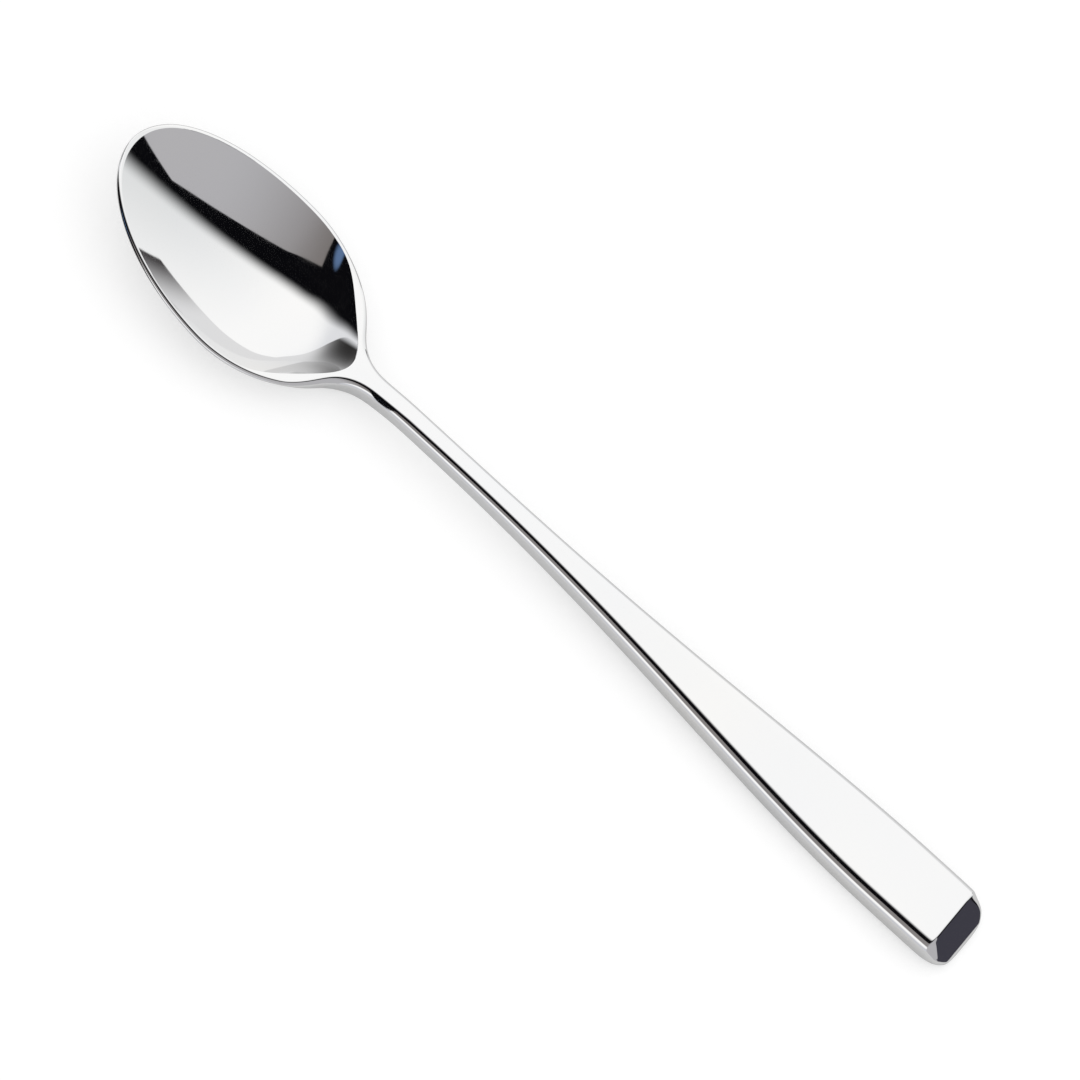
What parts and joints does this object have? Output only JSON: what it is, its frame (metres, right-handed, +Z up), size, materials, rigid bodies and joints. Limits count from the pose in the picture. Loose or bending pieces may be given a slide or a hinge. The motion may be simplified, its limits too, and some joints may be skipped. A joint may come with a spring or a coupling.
{
  "type": "iced tea spoon",
  "caption": "Long-handled stainless steel spoon with a small egg-shaped bowl, a slim neck and a flaring handle that ends in a sloping facet.",
  "frame": {"origin": "on the table under the middle of the spoon, at the centre of the bottom of its bounding box", "axes": "+X runs along the spoon from the bowl's tip to the handle's end, +Y across it, +Z up from the table"},
  "size_m": [0.2, 0.035, 0.013],
  "materials": {
    "bowl_steel": "mirror-polished stainless steel",
    "neck_steel": "mirror-polished stainless steel",
    "handle_steel": "mirror-polished stainless steel"
  },
  "bodies": {
    "root": {"bowl": "bowl_steel", "neck": "neck_steel", "handle": "handle_steel"}
  },
  "joints": []
}
